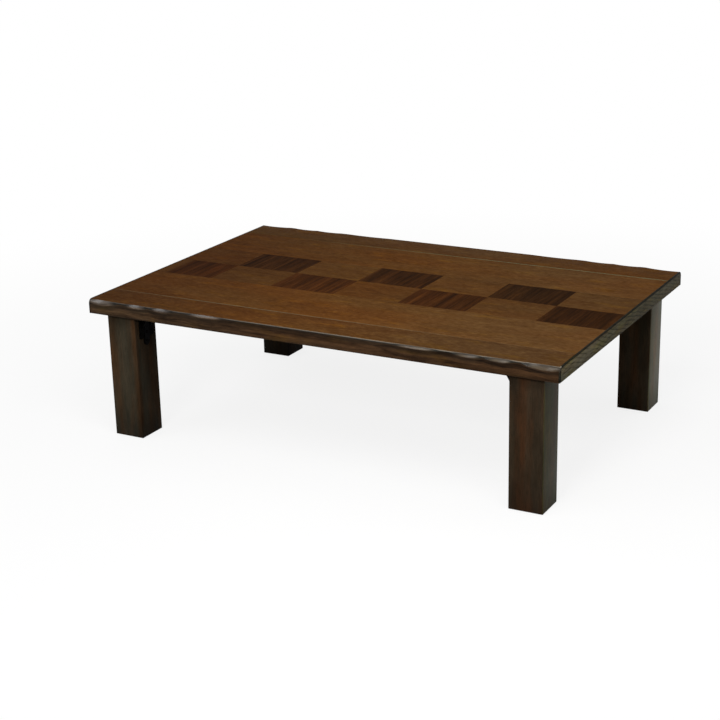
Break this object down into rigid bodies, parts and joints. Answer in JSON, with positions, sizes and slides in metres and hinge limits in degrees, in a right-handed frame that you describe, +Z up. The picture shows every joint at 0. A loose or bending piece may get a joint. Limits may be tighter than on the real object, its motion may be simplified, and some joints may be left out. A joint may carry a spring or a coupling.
{
  "type": "low floor table",
  "caption": "Low rectangular floor table with a carved scalloped edge, an inlaid band of squares along the top and legs that fold inward on sprung hinges.",
  "frame": {"origin": "on the floor under the middle of the table", "axes": "+X along the length, +Y from the front edge to the back edge, +Z up"},
  "size_m": [1.2, 0.8, 0.345],
  "materials": {
    "top_veneer": "satin varnished brown veneer, grain along the table",
    "side_wood": "satin varnished dark brown solid wood, carved edge polished",
    "dark_veneer": "satin varnished dark red-brown striped veneer, grain across the table",
    "light_veneer": "satin varnished light brown veneer, grain along the table",
    "leg_wood": "satin varnished very dark brown wood, grain upright",
    "under_panel": "plain sealed plywood",
    "core_wood": "unfinished planed softwood",
    "black_steel": "black baked paint, slightly glossy",
    "spring_steel": "black-blued spring steel",
    "glide_plastic": "dark brown moulded plastic"
  },
  "bodies": {
    "table_top": {"side_board_front": "side_wood", "side_board_back": "side_wood", "end_lipping_left": "side_wood", "end_lipping_right": "side_wood", "top_panel": "top_veneer", "dark_squares_back": "dark_veneer", "dark_squares_front": "dark_veneer", "light_squares_back": "light_veneer", "light_squares_front": "light_veneer", "bottom_panel": "under_panel", "core_rail_front": "core_wood", "core_rail_back": "core_wood", "end_rail_left": "core_wood", "end_rail_right": "core_wood", "cross_rails": "core_wood", "spline_front": "core_wood", "spline_back": "core_wood", "hinge_base_front_left": "black_steel", "hinge_base_front_right": "black_steel", "hinge_base_back_left": "black_steel", "hinge_base_back_right": "black_steel", "base_screws_front_left": "black_steel", "base_screws_front_right": "black_steel", "base_screws_back_left": "black_steel", "base_screws_back_right": "black_steel"},
    "folding_leg_front_left": {"leg_front_left": "leg_wood", "glide_front_left": "glide_plastic", "leg_plate_front_left": "black_steel", "leg_screws_front_left": "black_steel", "leaf_spring_front_left": "spring_steel", "hinge_pin_front_left": "black_steel"},
    "folding_leg_front_right": {"leg_front_right": "leg_wood", "glide_front_right": "glide_plastic", "leg_plate_front_right": "black_steel", "leg_screws_front_right": "black_steel", "leaf_spring_front_right": "spring_steel", "hinge_pin_front_right": "black_steel"},
    "folding_leg_back_left": {"leg_back_left": "leg_wood", "glide_back_left": "glide_plastic", "leg_plate_back_left": "black_steel", "leg_screws_back_left": "black_steel", "leaf_spring_back_left": "spring_steel", "hinge_pin_back_left": "black_steel"},
    "folding_leg_back_right": {"leg_back_right": "leg_wood", "glide_back_right": "glide_plastic", "leg_plate_back_right": "black_steel", "leg_screws_back_right": "black_steel", "leaf_spring_back_right": "spring_steel", "hinge_pin_back_right": "black_steel"}
  },
  "joints": [
    {"name": "fold_front_left", "type": "hinge", "parent": "table_top", "child": "folding_leg_front_left", "pos_m": [-0.47, -0.343, 0.299], "axis": [0, -1, 0], "range_deg": [0, 90]},
    {"name": "fold_front_right", "type": "hinge", "parent": "table_top", "child": "folding_leg_front_right", "pos_m": [0.47, -0.343, 0.299], "axis": [0, 1, 0], "range_deg": [0, 90]},
    {"name": "fold_back_left", "type": "hinge", "parent": "table_top", "child": "folding_leg_back_left", "pos_m": [-0.47, 0.343, 0.299], "axis": [0, -1, 0], "range_deg": [0, 90]},
    {"name": "fold_back_right", "type": "hinge", "parent": "table_top", "child": "folding_leg_back_right", "pos_m": [0.47, 0.343, 0.299], "axis": [0, 1, 0], "range_deg": [0, 90]}
  ]
}
